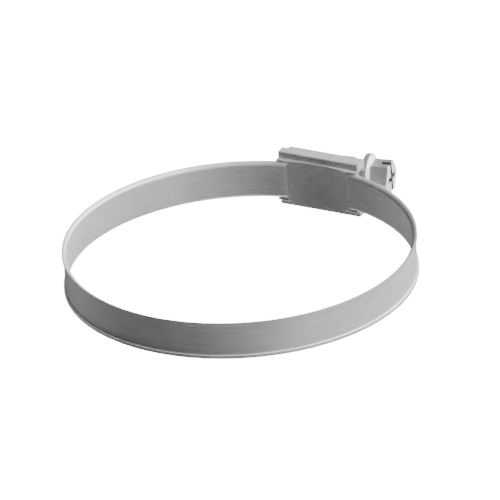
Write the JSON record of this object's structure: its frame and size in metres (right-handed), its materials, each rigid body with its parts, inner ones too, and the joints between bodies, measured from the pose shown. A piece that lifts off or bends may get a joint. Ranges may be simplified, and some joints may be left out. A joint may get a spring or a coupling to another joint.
{
  "type": "worm-drive band clamp",
  "caption": "Steel band clamp with turned-up edges, a stepped saddle and a tilted worm screw in an arched housing, for gripping a round post",
  "frame": {"origin": "middle of the post bore, on its axis at half the band's width", "axes": "+Z along the bore axis, +Y from the bore to the saddle and screw, +X to the screw head"},
  "size_m": [0.0804, 0.0928, 0.0132],
  "materials": {
    "band_steel": "satin cold-rolled strip, brushed along its length",
    "housing_steel": "satin pressed steel",
    "screw_steel": "bright zinc-plated turned steel"
  },
  "bodies": {
    "clamp": {"band": "band_steel", "saddle": "housing_steel", "worm_housing": "housing_steel"},
    "screw": {"worm_screw": "screw_steel"}
  },
  "joints": [
    {"name": "screw_turn", "type": "hinge", "parent": "clamp", "child": "screw", "pos_m": [0, 0.04581, 0], "axis": [-0.9833, -0.1822, 0], "range_deg": [-1080, 9000], "deforming": ["band"]}
  ]
}
